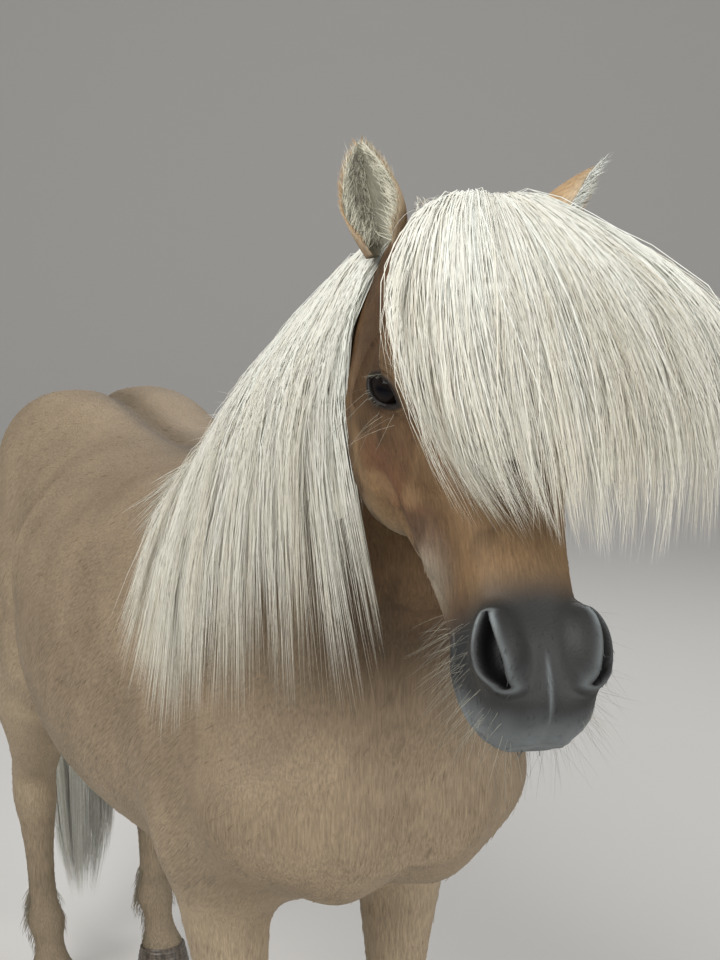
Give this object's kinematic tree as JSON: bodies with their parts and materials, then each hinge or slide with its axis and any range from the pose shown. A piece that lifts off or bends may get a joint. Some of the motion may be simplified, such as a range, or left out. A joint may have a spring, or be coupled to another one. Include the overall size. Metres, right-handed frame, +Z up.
{
  "type": "shetland pony",
  "caption": "Standing Shetland pony with a long flaxen mane, a full forelock over the face, a thick tail and a golden brown coat, its head turned slightly to its right.",
  "frame": {"origin": "on the floor under the middle of the pony's box", "axes": "+X forward to the muzzle, +Y to the pony's left, +Z up"},
  "size_m": [1.5168, 0.4356, 1.2928],
  "materials": {
    "coat": "short soft hair, matt with a faint sheen",
    "face": "short smooth hair, darker bare skin at the muzzle",
    "hair": "long coarse hair, soft shine",
    "hoof": "horn with fine rings, satin",
    "eye": "wet and glossy, nearly black"
  },
  "bodies": {
    "root": {"torso": "coat", "neck": "coat", "head": "face", "ear_right": "face", "ear_left": "face", "eye_right": "eye", "eye_left": "eye", "tail": "hair", "leg_fore_right": "coat", "hoof_fore_right": "hoof", "leg_fore_left": "coat", "hoof_fore_left": "hoof", "leg_hind_right": "coat", "hoof_hind_right": "hoof", "leg_hind_left": "coat", "hoof_hind_left": "hoof"}
  },
  "joints": []
}
